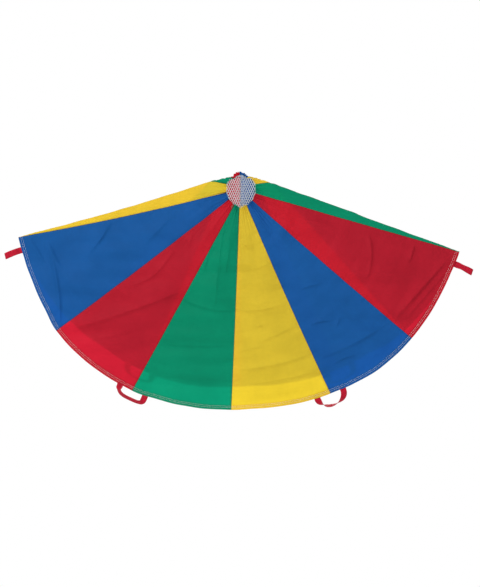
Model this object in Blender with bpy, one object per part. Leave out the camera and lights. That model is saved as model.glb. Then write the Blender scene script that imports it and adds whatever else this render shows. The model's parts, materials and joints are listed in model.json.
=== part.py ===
"""Play parachute of twelve sewn gores, hung by the top of its vent and drawn out by two side handles.

Metres, +Z up, front towards -Y. The origin is the hanging point at the top of the vent.
A place on the canopy is (u, t): u counts the seams round the canopy, and t runs down a gore from the
vent (0) to the rim (1). Seams 0 to 6 face the front. The cloth past seams 0 and 6 folds over two ridges
and hangs behind, where u counts on to 12, which is seam 0 again.
"""

import math

import bmesh
import bpy
from mathutils import Vector

# Cut of the canopy.
CANOPY_RADIUS = 0.915
GORE_WIDTH = 0.402
GORES = 12
FRONT_GORES = 6
CLOTH_THICKNESS = 0.0011
HEM_WIDTH = 0.0240
HEM_THICKNESS = 0.0020
HEM_STEP = 0.0025
SEAM_GAP = 0.00085

# Vent and net.
VENT_HALF_WIDTH = 0.0585
VENT_HALF_HEIGHT = 0.0680
VENT_PEAK_RISE = 0.0045
VENT_PEAK_SPREAD_DEG = 35.0
VENT_HANG_DEG = 94.0
VENT_TILT_DEG = 9.0
VENT_FLAT_REACH = 0.078
VENT_EASE = 0.150
NET_THICKNESS = 0.0011
NET_PITCH = 0.0098
NET_CORD = 0.0024
NET_BORDER = 0.0040
NET_GAP = 0.0006

# How the canopy hangs.
HANG_LEAN_DEG = -1.88
RIDGE_RADIUS = 0.0045
LEFT_RIDGE_SAG = 0.0050
RIGHT_RIDGE_SAG = 0.0
FRONT_SWELL = 0.060
BACK_SWELL = 0.050
SWELL_REACH = 0.170
CORNER_FLAT = 0.085
CORNER_EASE = 0.250
GORE_BILLOW = 0.0065
FLUTE_DEPTH = 0.092

# Each front seam's stray from an even fan, in gores, and its reach to the rim, in canopy radii.
SEAM_STRAY_SHARES = (0.0, -0.010, -0.046, 0.006, 0.008, 0.037, 0.0)
RIM_REACH_SHARES = (1.012, 1.033, 1.016, 0.979, 0.991, 1.005, 1.009)
BACK_REACH_SHARE = 1.028
FLUTE_SPREAD_SHARE = 0.64
HOOK_BLEND_SHARE = 0.5

# Hem stitching.
THREAD_WIDTH = 0.0016
THREAD_THICKNESS = 0.0005
THREAD_CLEARANCE = 0.0008
THREAD_INSETS = {"hem_stitching_lower": 0.0092, "hem_stitching_upper": 0.0156}

# Webbing handles.
WEBBING_WIDTH = 0.025
WEBBING_THICKNESS = 0.0016
HANDLE_SPAN = 0.111
TAB_LENGTH = 0.0205
TAB_REACH = 0.0008
TAB_GAP = 0.0005
HINGE_GAP = 0.0005
SIDE_LOOP_HALF_GAP = 0.0090
SIDE_LEG_GAP = 0.0004
SIDE_HANDLE_INSET = 0.0490
SIDE_FRONT_TAB_LENGTH = 0.0160
SIDE_BACK_TAB_LENGTH = 0.0305
SIDE_LEG_SPREAD_SHARES = (0.0, 0.2, 0.4, 0.6, 0.8, 1.0)
SIDE_END_REACH_SHARE = 0.75
SIDE_END_THIN_SHARE = 0.5
LEAN_SHARE = 0.5
END_ROUND_SHARES = ((0.7, 0.7), (0.94, 0.33))

# Handles on the free rim: name, seam, drop at each end, squareness of the corners, turn of the web at the
# bottom and how soon it turns from each end.
HUNG_HANDLES = (
    ("front_left_handle", 2, (0.034, 0.037), 0.58, 58.0, (5.0, 2.6)),
    ("front_right_handle", 4, (0.042, 0.053), 1.00, 110.0, (3.9, 1.8)),
    ("back_right_handle", 8, (0.047, 0.047), 0.60, 80.0, (2.8, 2.8)),
    ("back_left_handle", 10, (0.047, 0.047), 0.60, 80.0, (2.8, 2.8)),
)
# Handles at the two corners: name, seam, length of the loop, slant of the web and side of the canopy.
SIDE_HANDLES = (
    ("left_side_handle", 0, 0.067, 7.9, -1),
    ("right_side_handle", 6, 0.074, -6.9, 1),
)

# Mesh counts, and where the columns of a gore stand across it.
TOP_ROW_SHARES = (0.0, 0.005, 0.018, 0.034, 0.050, 0.066, 0.082)
LOWER_ROWS = 8
ROW_CROWDING = 1.3
CREST_CROWDING = 2.2
CREST_MARGIN = 0.008
FOLDED_FRONT_COLUMNS = 5
FOLDED_BACK_COLUMNS = 7
PLAIN_COLUMN_SHARES = (0.0, 0.2, 0.4, 0.6, 0.8, 1.0)
FLUTED_COLUMN_SHARES = (0.0, 0.18, 0.28, 0.36, 0.43, 0.50, 0.57, 0.64, 0.72, 0.82, 1.0)
CREST_LOW_SHARE = 0.14
CREST_LEAVING_SHARE = 0.070
CREST_EASE_SHARE = 0.120
STRAP_STEPS = 16
TURN_STEPS = 6
SOLVE_STEPS = 30
PROBE_SHARE = 0.004
SHARP_ANGLE_DEG = 35.0

# Colours and roughness.
GORE_FINISHES = ("blue_cloth", "red_cloth", "green_cloth", "yellow_cloth")
FINISHES = {
    "blue_cloth": ((0.014, 0.095, 0.350), 0.55),
    "red_cloth": ((0.500, 0.018, 0.036), 0.55),
    "green_cloth": ((0.002, 0.270, 0.145), 0.55),
    "yellow_cloth": ((0.800, 0.560, 0.028), 0.55),
    "white_net": ((0.750, 0.730, 0.740), 0.70),
    "white_thread": ((0.800, 0.800, 0.780), 0.60),
    "red_webbing": ((0.520, 0.020, 0.045), 0.65),
}

FRONT = Vector((0.0, -1.0, 0.0))
DOWN = Vector((0.0, 0.0, -1.0))
RIGHT = Vector((1.0, 0.0, 0.0))
HOOK_SEAM = 9
GORE_ANGLE = GORE_WIDTH / CANOPY_RADIUS
GORE_LENGTH = CANOPY_RADIUS - VENT_HALF_WIDTH
FAN_START = math.radians(HANG_LEAN_DEG - 90.0) - GORE_ANGLE * FRONT_GORES / 2
HOOK_ANGLE = math.radians(VENT_HANG_DEG)
VENT_SLOPE = math.tan(math.radians(VENT_TILT_DEG))
HALF_WEB = WEBBING_THICKNESS / 2


def smooth(value):
    """0 before 0, 1 after 1, with level ends."""
    value = min(1.0, max(0.0, value))
    return value * value * (3.0 - 2.0 * value)


def seam_value(shares, v, before, after):
    """A seam's share at v, easing from each seam to the next and past the front to the given ends."""
    padded = (before,) + shares + (after,)
    place = min(max(v + 1.0, 0.0), len(padded) - 1.0)
    seam = min(int(place), len(padded) - 2)
    return padded[seam] + (padded[seam + 1] - padded[seam]) * smooth(place - seam)


def direction(angle):
    return Vector((math.cos(angle), 0.0, math.sin(angle)))


def turned(point, angle):
    """A point turned about the hanging point in the plane of the front."""
    cosine = math.cos(angle)
    sine = math.sin(angle)
    return Vector((point.x * cosine - point.z * sine, point.y, point.x * sine + point.z * cosine))


def fan_angle(v):
    return FAN_START + GORE_ANGLE * (v + seam_value(SEAM_STRAY_SHARES, v, 0.0, 0.0))


def vent_angle(v):
    """Where a seam starts on the vent: the upper seams share what the front fan leaves."""
    if v < 0.0:
        return fan_angle(0) + (HOOK_ANGLE - 2 * math.pi - fan_angle(0)) * v / (HOOK_SEAM - GORES)
    if v > FRONT_GORES:
        start = fan_angle(FRONT_GORES)
        return start + (HOOK_ANGLE - start) * (v - FRONT_GORES) / (HOOK_SEAM - FRONT_GORES)
    return fan_angle(v)


def vent_radius(angle):
    """An oval drawn up to a soft peak where it hangs."""
    off_peak = abs(math.degrees(math.remainder(angle - HOOK_ANGLE, 2 * math.pi)))
    peak = VENT_PEAK_RISE * max(0.0, 1.0 - off_peak / VENT_PEAK_SPREAD_DEG)
    return peak + 1.0 / math.hypot(math.cos(angle) / VENT_HALF_WIDTH, math.sin(angle) / VENT_HALF_HEIGHT)


VENT_MIDDLE = -vent_radius(HOOK_ANGLE) * direction(HOOK_ANGLE)


def flat_place(v, t):
    """A place on the canopy laid open round its front: v runs past 6 to the right, below 0 to the left."""
    start = VENT_MIDDLE + vent_radius(vent_angle(v)) * direction(vent_angle(v))
    reach = seam_value(RIM_REACH_SHARES, v, BACK_REACH_SHARE, BACK_REACH_SHARE)
    end = VENT_MIDDLE + CANOPY_RADIUS * reach * direction(fan_angle(v))
    return start + (end - start) * t


class Ridge:
    """One of the two folds: it runs from the hanging point to the rim end of its seam."""

    def __init__(self, seam, hook_place, sag, side):
        self.seam = seam
        self.side = side
        self.sag = sag
        self.corner = flat_place(seam, 1.0)
        self.along = self.corner.normalized()
        self.down = Vector((-self.along.z, 0.0, self.along.x)) * -side
        hook_end = flat_place(hook_place, 1.0)
        folded = self.along * hook_end.dot(self.along) + self.down * abs(hook_end.dot(self.down))
        self.swing = -math.pi / 2 - math.atan2(folded.z, folded.x)

    def droop(self, point):
        """How far the crest sags under the straight line, abreast of a point."""
        share = min(1.0, max(0.0, point.dot(self.along) / self.corner.length))
        return self.sag * math.sin(math.pi * share)

    def below(self, point):
        return max(0.0, point.dot(self.down) - self.droop(point))

    def past(self, point):
        """Distance of a flat point from the crest, positive in front."""
        return point.dot(self.down) - self.droop(point) + RIDGE_RADIUS

    def hang(self, v, t):
        """Lays a place of the flat canopy over this ridge."""
        flat = flat_place(v, t)
        past = self.past(flat)
        reach = math.hypot(past, RIDGE_RADIUS)
        facing = past / reach
        behind = (1.0 - facing) / 2
        drop = self.droop(flat) + reach - RIDGE_RADIUS
        hung = self.along * flat.dot(self.along) + self.down * drop
        beyond = (v - self.seam) * self.side - 1.0
        across = (beyond - 0.5) / FLUTE_SPREAD_SHARE + 0.5
        hung = turned(hung, self.swing * smooth(across) * behind)
        front, back, free = layer_depths(hung)
        billow = GORE_BILLOW * free * math.sin(math.pi * v) ** 2
        flute = 0.0
        if 0.0 < across < 1.0:
            flute = FLUTE_DEPTH * math.sin(math.pi * across) ** 2 * flat.length / CANOPY_RADIUS
        hung.y = (back - front) / 2 - facing * (RIDGE_RADIUS + (front + back) / 2 + billow) + behind * flute
        return hung


LEFT_RIDGE = Ridge(0, HOOK_SEAM - GORES, LEFT_RIDGE_SAG, -1)
RIGHT_RIDGE = Ridge(FRONT_GORES, HOOK_SEAM, RIGHT_RIDGE_SAG, 1)


def layer_depths(point):
    """Distances of the front and back layers from the ridges' plane, and how freely the cloth hangs."""
    left = LEFT_RIDGE.below(point)
    right = RIGHT_RIDGE.below(point)
    free = 0.0
    if left > 0.0 and right > 0.0:
        depth = left * right / (left**3 + right**3) ** (1 / 3)
        corner = min((point - ridge.corner).length for ridge in (LEFT_RIDGE, RIGHT_RIDGE))
        free = (1.0 - math.exp(-depth / SWELL_REACH)) * smooth((corner - CORNER_FLAT) / CORNER_EASE)
    from_vent = smooth(((point - VENT_MIDDLE).length - VENT_FLAT_REACH) / VENT_EASE)
    vent_depth = VENT_SLOPE * max(0.0, -point.z)
    front = vent_depth + (FRONT_SWELL * free - vent_depth) * from_vent
    return front, BACK_SWELL * free, free * from_vent


def canopy(u, t):
    """A place on the canopy's outer face."""
    u = u % GORES
    if u <= FRONT_GORES:
        return LEFT_RIDGE.hang(u, t).lerp(RIGHT_RIDGE.hang(u, t), smooth(u / FRONT_GORES))
    share = smooth((u - HOOK_SEAM) / (2 * HOOK_BLEND_SHARE) + 0.5)
    if share == 0.0:
        return RIGHT_RIDGE.hang(u, t)
    if share == 1.0:
        return LEFT_RIDGE.hang(u - GORES, t)
    return RIGHT_RIDGE.hang(u, t).lerp(LEFT_RIDGE.hang(u - GORES, t), share)


def outward(u, t):
    """The canopy's outward normal."""
    across = canopy(u + PROBE_SHARE, t) - canopy(u - PROBE_SHARE, t)
    down = canopy(u, t + PROBE_SHARE) - canopy(u, t - PROBE_SHARE)
    return down.cross(across).normalized()


def front_count(gore):
    """A gore's first seam counted from the front: on to 9 at the right, back to -3 at the left."""
    return gore if gore < HOOK_SEAM else gore - GORES


def row_places():
    """Rows down a gore, closest where seams cross the ridges beside the vent, then the hem's two edges."""
    hem = 1.0 - HEM_WIDTH / GORE_LENGTH
    top = TOP_ROW_SHARES[-1]
    last = hem - HEM_STEP / GORE_LENGTH
    lower = [top + (last - top) * (row / LOWER_ROWS) ** ROW_CROWDING for row in range(1, LOWER_ROWS + 1)]
    return list(TOP_ROW_SHARES) + lower + [hem, 1.0]


def crest_share(gore, ridge, t):
    """How far across a folded gore its ridge's crest lies."""
    low = 0.0
    high = 1.0
    for _ in range(SOLVE_STEPS):
        middle = (low + high) / 2
        if (ridge.past(flat_place(gore + middle, t)) > 0.0) == (ridge is RIGHT_RIDGE):
            low = middle
        else:
            high = middle
    return (low + high) / 2


def crowded(width, count):
    """Distances from the crest out to a seam, closer together near the crest where there is room."""
    power = 1.0 + (CREST_CROWDING - 1.0) * smooth(width / (GORE_WIDTH / 2))
    return [width * (step / count) ** power for step in range(1, count + 1)]


def fluted_places(crest, t):
    """Columns of a fluted gore: beside the vent their middle one follows the crest, then the flute."""
    crest = min(1.0 - CREST_LOW_SHARE, max(CREST_LOW_SHARE, crest))
    middle = crest + (0.5 - crest) * smooth((t - CREST_LEAVING_SHARE) / CREST_EASE_SHARE)
    return [
        share * 2 * middle if share < 0.5 else 1.0 - (1.0 - share) * 2 * (1.0 - middle)
        for share in FLUTED_COLUMN_SHARES
    ]


def column_places(gore, t, width):
    """Where the columns of a gore stand at t, in seams from the gore's first edge."""
    if gore < FRONT_GORES or gore in (HOOK_SEAM - 1, HOOK_SEAM):
        return list(PLAIN_COLUMN_SHARES)
    right = gore < HOOK_SEAM
    crest = crest_share(front_count(gore), RIGHT_RIDGE if right else LEFT_RIDGE, t)
    if gore not in (FRONT_GORES, GORES - 1):
        return fluted_places(crest, t)
    crest = min(width - CREST_MARGIN, max(CREST_MARGIN, crest * width))
    before = crowded(crest, FOLDED_FRONT_COLUMNS if right else FOLDED_BACK_COLUMNS)
    after = crowded(width - crest, FOLDED_BACK_COLUMNS if right else FOLDED_FRONT_COLUMNS)
    places = [crest - step for step in reversed(before)] + [crest] + [crest + step for step in after]
    return [place / width for place in places]


def gore_rows(gore):
    """A gore's outer points and normals, row by row."""
    rows = []
    first = front_count(gore)
    for t in row_places():
        width = (flat_place(first + 1, t) - flat_place(first, t)).length
        edge = SEAM_GAP / 2 / width
        places = [edge + share * (1.0 - 2 * edge) for share in column_places(gore, t, width)]
        rows.append([(canopy(gore + place, t), outward(gore + place, t)) for place in places])
    return rows


GORE_ROWS = [gore_rows(gore) for gore in range(GORES)]


def make_finish(name):
    colour, roughness = FINISHES[name]
    finish = bpy.data.materials.new(name)
    finish.use_nodes = True
    shader = finish.node_tree.nodes["Principled BSDF"]
    shader.inputs["Base Color"].default_value = (*colour, 1.0)
    shader.inputs["Roughness"].default_value = roughness
    shader.inputs["Metallic"].default_value = 0.0
    finish.diffuse_color = (*colour, 1.0)
    return finish


def add_object(name, bm, finish, origin, rounded=True):
    """Turns a closed bmesh into an object whose own origin is the given point."""
    bmesh.ops.recalc_face_normals(bm, faces=bm.faces)
    bmesh.ops.translate(bm, verts=bm.verts, vec=-origin)
    mesh = bpy.data.meshes.new(name)
    bm.to_mesh(mesh)
    bm.free()
    if rounded:
        mesh.shade_smooth()
        mesh.set_sharp_from_angle(angle=math.radians(SHARP_ANGLE_DEG))
    item = bpy.data.objects.new(name, mesh)
    item.location = origin
    bpy.context.scene.collection.objects.link(item)
    if finish is not None:
        mesh.materials.append(finish)
    return item


def sheet_mesh(outer, inner):
    """A closed sheet between two grids of points."""
    bm = bmesh.new()
    outer_verts = [[bm.verts.new(point) for point in row] for row in outer]
    inner_verts = [[bm.verts.new(point) for point in row] for row in inner]
    last_row = len(outer) - 1
    last_column = len(outer[0]) - 1
    for r in range(last_row):
        for c in range(last_column):
            for grid in (outer_verts, inner_verts):
                bm.faces.new((grid[r][c], grid[r][c + 1], grid[r + 1][c + 1], grid[r + 1][c]))
    for c in range(last_column):
        for r in (0, last_row):
            bm.faces.new((outer_verts[r][c], outer_verts[r][c + 1], inner_verts[r][c + 1], inner_verts[r][c]))
    for r in range(last_row):
        for c in (0, last_column):
            bm.faces.new((outer_verts[r][c], outer_verts[r + 1][c], inner_verts[r + 1][c], inner_verts[r][c]))
    return bm


def add_gore(gore, finishes):
    """One panel: a single cloth with its rim turned up into a hem on the inner side."""
    rows = GORE_ROWS[gore]
    thicknesses = [CLOTH_THICKNESS] * (len(rows) - 2) + [HEM_THICKNESS] * 2
    outer = [[point for point, _ in row] for row in rows]
    inner = [
        [point - normal * thickness for point, normal in row]
        for row, thickness in zip(rows, thicknesses)
    ]
    finish = GORE_FINISHES[gore % len(GORE_FINISHES)]
    name = f"gore_{gore + 1:02d}_{finish.split('_')[0]}"
    return add_object(name, sheet_mesh(outer, inner), finishes[finish], Vector())


def add_net(finishes):
    """A flat net that fills the vent, with square gaps inside a plain border."""
    up = Vector((0.0, VENT_SLOPE, 1.0)).normalized()
    face = RIGHT.cross(up).normalized()
    base = FRONT * RIDGE_RADIUS
    outline = []
    for gore in range(GORES):
        for point, _ in GORE_ROWS[gore][0][:-1]:
            flat = Vector((point.x, 0.0, point.z))
            flat = flat + (VENT_MIDDLE - flat).normalized() * NET_GAP
            outline.append(flat + base + Vector((0.0, flat.z * VENT_SLOPE, 0.0)))
    bm = bmesh.new()
    front = bm.faces.new([bm.verts.new(point) for point in outline])
    back = bmesh.ops.extrude_face_region(bm, geom=[front], use_keep_orig=True)
    moved = [item for item in back["geom"] if isinstance(item, bmesh.types.BMVert)]
    bmesh.ops.translate(bm, verts=moved, vec=-face * NET_THICKNESS)
    net = add_object("vent_net", bm, finishes["white_net"], Vector(), rounded=False)
    cut = bmesh.new()
    half = (NET_PITCH - NET_CORD) / 2
    columns = math.ceil(VENT_HALF_WIDTH / NET_PITCH)
    rows = math.ceil((VENT_HALF_HEIGHT + VENT_PEAK_RISE) / NET_PITCH)
    for row in range(-rows, rows + 1):
        for column in range(-columns, columns + 1):
            centre = VENT_MIDDLE + RIGHT * column * NET_PITCH + up * row * NET_PITCH
            reach = max(
                (centre + RIGHT * x * half + up * z * half - VENT_MIDDLE).length
                - vent_radius(math.atan2(row * NET_PITCH + z * half, column * NET_PITCH + x * half))
                for x in (-1, 1)
                for z in (-1, 1)
            )
            if reach > -NET_BORDER - NET_GAP:
                continue
            centre = centre + base + Vector((0.0, VENT_MIDDLE.z * VENT_SLOPE, 0.0))
            box = []
            for x, z, y in ((x, z, y) for y in (-1, 1) for x, z in ((-1, -1), (1, -1), (1, 1), (-1, 1))):
                depth = face * NET_THICKNESS * (2 * y)
                box.append(cut.verts.new(centre + RIGHT * x * half + up * z * half + depth))
            for ring in ((0, 3, 2, 1), (4, 5, 6, 7), (0, 1, 5, 4), (1, 2, 6, 5), (2, 3, 7, 6), (3, 0, 4, 7)):
                cut.faces.new([box[k] for k in ring])
    cutter = add_object("net_gaps", cut, None, Vector())
    cutter.hide_render = True
    cutter.display_type = "WIRE"
    holes = net.modifiers.new("gaps", "BOOLEAN")
    holes.operation = "DIFFERENCE"
    holes.solver = "EXACT"
    holes.object = cutter


def ribbon_mesh(stations, closed):
    """A strip of webbing or thread swept through stations of middle, half width and half thickness."""
    bm = bmesh.new()
    rings = []
    for middle, wide, thick in stations:
        corners = (middle - wide - thick, middle + wide - thick, middle + wide + thick, middle - wide + thick)
        rings.append([bm.verts.new(corner) for corner in corners])
    pairs = list(zip(rings, rings[1:]))
    if closed:
        pairs.append((rings[-1], rings[0]))
    for near, far in pairs:
        for k in range(4):
            bm.faces.new((near[k], near[(k + 1) % 4], far[(k + 1) % 4], far[k]))
    if not closed:
        bm.faces.new(rings[0])
        bm.faces.new(rings[-1])
    return bm


def add_stitching(name, inset, finishes):
    """One row of hem stitches, as a thread that runs round the whole rim."""
    share = inset / HEM_WIDTH
    stations = []
    for gore in range(GORES):
        hem_row, rim_row = GORE_ROWS[gore][-2:]
        for (hem, hem_normal), (rim, rim_normal) in list(zip(hem_row, rim_row))[:-1]:
            normal = hem_normal.lerp(rim_normal, 0.5).normalized()
            middle = rim.lerp(hem, share) + normal * (THREAD_CLEARANCE + THREAD_THICKNESS / 2)
            wide = (hem - rim).normalized() * (THREAD_WIDTH / 2)
            stations.append((middle, wide, normal * (THREAD_THICKNESS / 2)))
    add_object(name, ribbon_mesh(stations, True), finishes["white_thread"], Vector())


def rim_facet(gore, last, distance):
    """The hem facet beside a seam: its rim point at a distance, its along, upward and outer directions."""
    hem_row, rim_row = GORE_ROWS[gore][-2:]
    near, far = (-1, -2) if last else (0, 1)
    along = (rim_row[far][0] - rim_row[near][0]).normalized()
    point = rim_row[near][0] + along * distance
    upward = (hem_row[near][0] + hem_row[far][0] - rim_row[near][0] - rim_row[far][0]).normalized()
    if last:
        along = -along
    outer = along.cross(upward).normalized()
    return point, along, outer.cross(along), outer


def add_tab(name, finishes, root, wide, up, thick, length):
    """A sewn end of a handle: a flat length of webbing under the hem."""
    stations = [(root, wide, thick), (root + up * length, wide, thick)]
    add_object(name, ribbon_mesh(stations, False), finishes["red_webbing"], root)


def add_hung_handle(name, seam, drops, squareness, turn_deg, hastes, finishes):
    """A loop of webbing that hangs from two sewn ends, its web turned edge on at the bottom."""
    axis_offset = HALF_WEB + HINGE_GAP + TAB_REACH
    roots = []
    bases = []
    for gore, last in (((seam - 1) % GORES, True), (seam % GORES, False)):
        point, along, up, outer = rim_facet(gore, last, HANDLE_SPAN / 2)
        middle = point - outer * (HEM_THICKNESS + TAB_GAP + HALF_WEB)
        bases.append(middle - up * axis_offset)
        roots.append((middle, outer))
    axis = (bases[1] - bases[0]).normalized()
    span = (bases[1] - bases[0]).length
    hang = (DOWN - axis * DOWN.dot(axis)).normalized()
    facing = axis.cross(hang).normalized()
    lean = LEAN_SHARE * DOWN.dot(axis) / DOWN.dot(hang)
    for label, (middle, outer), base in zip(("a", "b"), roots, bases):
        wide = (axis - outer * axis.dot(outer)).normalized()
        up = outer.cross(wide).normalized()
        if up.z < 0.0:
            up = -up
        start = base + up * (HALF_WEB + HINGE_GAP)
        add_tab(f"{name}_sewn_end_{label}", finishes, start, wide * (WEBBING_WIDTH / 2), up,
                outer * HALF_WEB, TAB_LENGTH)
    path = []
    for step in range(STRAP_STEPS + 1):
        angle = math.pi * step / STRAP_STEPS
        deep = math.sin(angle) ** squareness
        place = -math.copysign(abs(math.cos(angle)) ** squareness, math.cos(angle))
        drop = drops[0] + (drops[1] - drops[0]) * (1.0 + place) / 2
        sideways = span / 2 * place + lean * drop * deep**2
        path.append(((bases[0] + bases[1]) / 2 + axis * sideways + hang * drop * deep, deep))
    stations = []
    for step, (point, deep) in enumerate(path):
        if step in (0, STRAP_STEPS):
            tangent = hang if step == 0 else -hang
        else:
            tangent = (path[step + 1][0] - path[step - 1][0]).normalized()
        share = step / STRAP_STEPS
        turn = math.radians(turn_deg) * smooth(hastes[0] * share) * smooth(hastes[1] * (1.0 - share))
        sideways = facing.cross(tangent).normalized()
        wide = sideways * math.cos(turn) + facing * math.sin(turn)
        thick = tangent.cross(wide).normalized()
        stations.append((point, wide * (WEBBING_WIDTH / 2), thick * HALF_WEB))
    for end, order in ((0, 1), (-1, -1)):
        point, wide, thick = stations[end]
        rounded = [(point - hang * HALF_WEB * back, wide, thick * thin) for back, thin in END_ROUND_SHARES]
        stations = rounded[::-1] + stations if order == 1 else stations + rounded
    add_object(name, ribbon_mesh(stations, False), finishes["red_webbing"], (bases[0] + bases[1]) / 2)
    print(name, "axis point", (bases[0] + bases[1]) / 2, "axis", axis, "hang", hang)


def add_side_handle(name, seam, length, slant_deg, side, finishes):
    """A loop of webbing drawn straight out of a corner, with one leg from each layer of the canopy."""
    gore = seam if side < 0 else seam - 1
    rim, along, _, _ = rim_facet(gore, side > 0, SIDE_HANDLE_INSET)
    axis = Vector((along.x, 0.0, along.z)).normalized()
    hang = (DOWN - axis * DOWN.dot(axis)).normalized()
    facing = FRONT
    half_leg = SIDE_LEG_GAP / 2 + HALF_WEB
    knuckle = half_leg + HALF_WEB
    tab_start = knuckle + HINGE_GAP
    root = Vector((rim.x, 0.0, rim.z)) + hang * (tab_start + TAB_REACH)
    wide = axis * (WEBBING_WIDTH / 2)
    for label, layer, tab_length in (("front", 1, SIDE_FRONT_TAB_LENGTH), ("back", -1, SIDE_BACK_TAB_LENGTH)):
        start = root - hang * tab_start + facing * half_leg * layer
        add_tab(f"{name}_sewn_end_{label}", finishes, start, wide, -hang, facing * HALF_WEB, tab_length)
    slant = math.tan(math.radians(slant_deg))
    turn_centre = length - SIDE_LOOP_HALF_GAP
    spread = turn_centre / 2
    leg = [(-knuckle * SIDE_END_REACH_SHARE, half_leg - HALF_WEB / 2, SIDE_END_THIN_SHARE)]
    for share in SIDE_LEG_SPREAD_SHARES:
        leg.append((spread * share, half_leg + (SIDE_LOOP_HALF_GAP - half_leg) * smooth(share), 1.0))
    route = list(leg)
    for step in range(TURN_STEPS + 1):
        angle = math.pi * step / TURN_STEPS
        out = turn_centre + SIDE_LOOP_HALF_GAP * math.sin(angle)
        route.append((out, SIDE_LOOP_HALF_GAP * math.cos(angle), 1.0))
    route += [(out, -across, thin) for out, across, thin in reversed(leg)]
    stations = []
    for step, (out, across, thin) in enumerate(route):
        before = route[max(step - 1, 0)]
        after = route[min(step + 1, len(route) - 1)]
        tangent = (hang * (after[0] - before[0]) + facing * (after[1] - before[1])).normalized()
        if out <= 0.0:
            tangent = hang if across > 0.0 else -hang
        thick = axis.cross(tangent).normalized()
        point = root + hang * out + facing * across + axis * (slant * out)
        stations.append((point, wide, thick * HALF_WEB * thin))
    add_object(name, ribbon_mesh(stations, False), finishes["red_webbing"], root)
    print(name, "axis point", root, "axis", axis, "hang", hang)


def main():
    for item in list(bpy.data.objects):
        bpy.data.objects.remove(item)
    finishes = {name: make_finish(name) for name in FINISHES}
    for gore in range(GORES):
        add_gore(gore, finishes)
    add_net(finishes)
    for name, inset in THREAD_INSETS.items():
        add_stitching(name, inset, finishes)
    for name, seam, drops, squareness, turn_deg, hastes in HUNG_HANDLES:
        add_hung_handle(name, seam, drops, squareness, turn_deg, hastes, finishes)
    for name, seam, length, slant_deg, side in SIDE_HANDLES:
        add_side_handle(name, seam, length, slant_deg, side, finishes)


main()
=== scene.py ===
import json
import math

import bmesh
import bpy
import numpy as np
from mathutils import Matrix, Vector


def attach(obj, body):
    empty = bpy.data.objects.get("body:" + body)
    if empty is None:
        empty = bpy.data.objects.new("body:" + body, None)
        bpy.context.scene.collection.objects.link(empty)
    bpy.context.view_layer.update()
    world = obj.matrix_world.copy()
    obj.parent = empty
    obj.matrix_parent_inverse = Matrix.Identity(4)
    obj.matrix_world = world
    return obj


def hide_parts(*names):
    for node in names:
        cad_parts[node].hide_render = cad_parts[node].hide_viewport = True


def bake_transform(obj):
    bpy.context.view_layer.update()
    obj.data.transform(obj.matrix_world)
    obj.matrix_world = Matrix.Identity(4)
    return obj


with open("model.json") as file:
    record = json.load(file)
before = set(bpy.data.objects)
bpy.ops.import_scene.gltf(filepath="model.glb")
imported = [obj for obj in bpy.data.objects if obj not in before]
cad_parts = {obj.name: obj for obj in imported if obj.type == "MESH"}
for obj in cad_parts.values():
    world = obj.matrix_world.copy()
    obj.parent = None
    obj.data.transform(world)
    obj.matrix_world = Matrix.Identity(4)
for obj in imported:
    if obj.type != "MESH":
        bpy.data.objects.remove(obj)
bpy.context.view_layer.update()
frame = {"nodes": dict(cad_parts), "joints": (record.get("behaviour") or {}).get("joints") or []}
scene = bpy.context.scene
print("frame loaded:", len(frame["nodes"]), "CAD nodes")


# Camera: a long lens, level, straight at the front as in the photograph.
cameraView = {
    "distance": 11.0,           # metres in front of the hanging point
    "aim": (0.0012, -0.4962),   # x and z of the middle of the picture
    "viewHeight": 2.387,        # metres seen from top to bottom at the hanging point
    "sensor": 36.0,             # mm
}


def addCamera(values):
    data = bpy.data.cameras.new("photoCamera")
    data.sensor_width = values["sensor"]
    data.lens = values["sensor"] * values["distance"] / values["viewHeight"]
    data.clip_end = 100.0
    item = bpy.data.objects.new("photoCamera", data)
    item.location = (values["aim"][0], -values["distance"], values["aim"][1])
    item.rotation_euler = (math.pi / 2, 0.0, 0.0)
    scene.collection.objects.link(item)
    scene.camera = item


addCamera(cameraView)
scene.view_settings.view_transform = "Standard"
print("camera set")


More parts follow.
